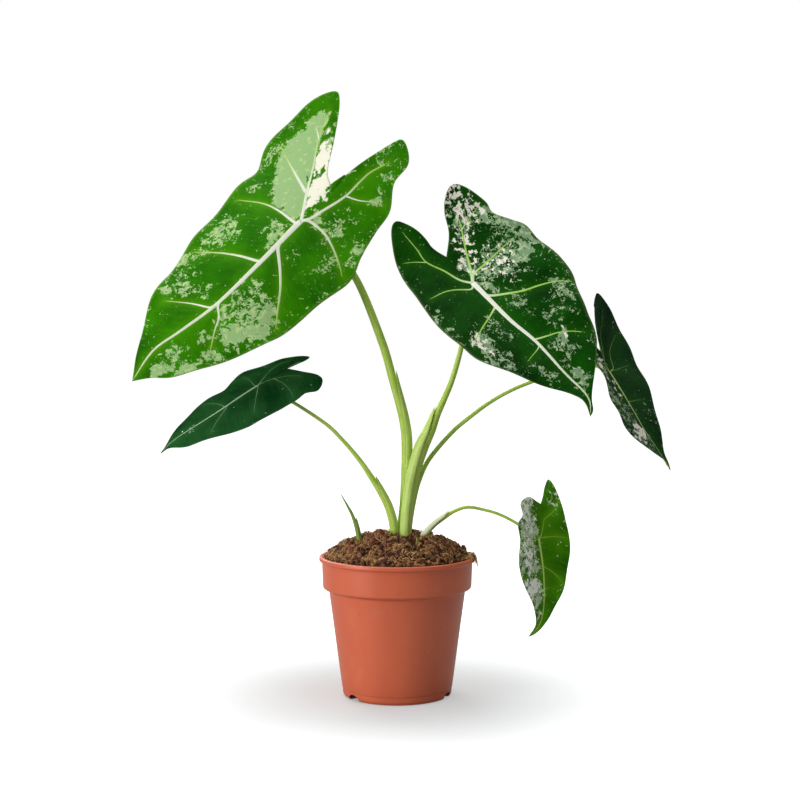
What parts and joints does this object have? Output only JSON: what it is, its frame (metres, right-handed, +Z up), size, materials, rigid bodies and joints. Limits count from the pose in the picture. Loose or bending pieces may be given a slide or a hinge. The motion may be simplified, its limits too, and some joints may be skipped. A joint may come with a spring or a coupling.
{
  "type": "potted alocasia frydek plant",
  "caption": "Variegated arrow-leaved house plant on slim arching stalks, growing from mounded soil in a round tapered nursery pot.",
  "frame": {"origin": "middle of the pot's flat underside", "axes": "+Z up out of the pot, -Y towards the side that the plant faces, +X to the right seen from there"},
  "size_m": [0.4022, 0.132, 0.4664],
  "materials": {
    "pot": "satin terracotta-coloured plastic",
    "soil": "loose dark brown fibrous potting mix",
    "stalk": "smooth pale green stalk with a soft sheen",
    "blade_bright": "light green leaf with sage and cream patches",
    "blade_dark": "velvety dark green leaf with pale veins and cream splashes",
    "blade_mid": "mid green leaf with cream and sage marbling",
    "shoot": "thin green and straw-coloured shoot"
  },
  "bodies": {
    "root": {"pot": "pot", "soil": "soil", "petiole_1": "stalk", "petiole_2": "stalk", "petiole_3": "stalk", "petiole_4": "stalk", "petiole_5": "stalk", "blade_1": "blade_bright", "blade_2": "blade_dark", "blade_3": "blade_dark", "blade_4": "blade_dark", "blade_5": "blade_mid", "shoot_1": "shoot", "shoot_2": "shoot"}
  },
  "joints": []
}
